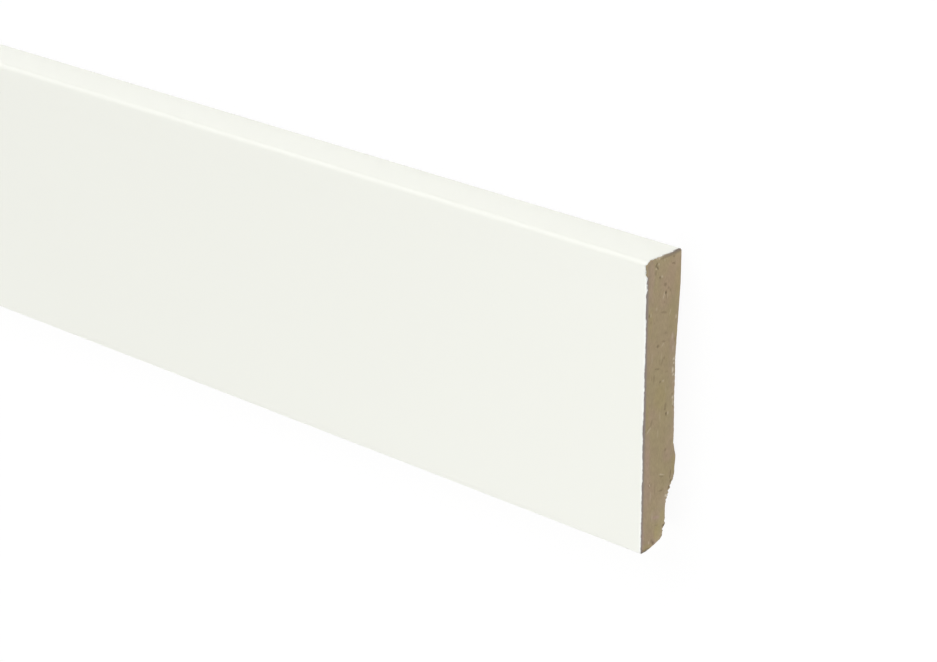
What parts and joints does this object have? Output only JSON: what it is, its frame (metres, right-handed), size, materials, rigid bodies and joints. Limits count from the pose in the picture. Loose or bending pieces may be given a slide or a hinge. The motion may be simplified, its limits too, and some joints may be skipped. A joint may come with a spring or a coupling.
{
  "type": "skirting board length",
  "caption": "Length of square-edged white skirting board in moulded MDF, with an eased top front arris, a hollow back and a cable rebate.",
  "frame": {"origin": "centre of the footprint, on the floor that the board lies on with its back down", "axes": "+X along the length, +Y up the board from its sole to its top edge, +Z out of the finished face, away from the wall side"},
  "size_m": [2.4, 0.07, 0.012],
  "materials": {
    "white_finish": "satin",
    "raw_mdf": "matte"
  },
  "bodies": {
    "root": {"skirting_board": "white_finish"}
  },
  "joints": []
}
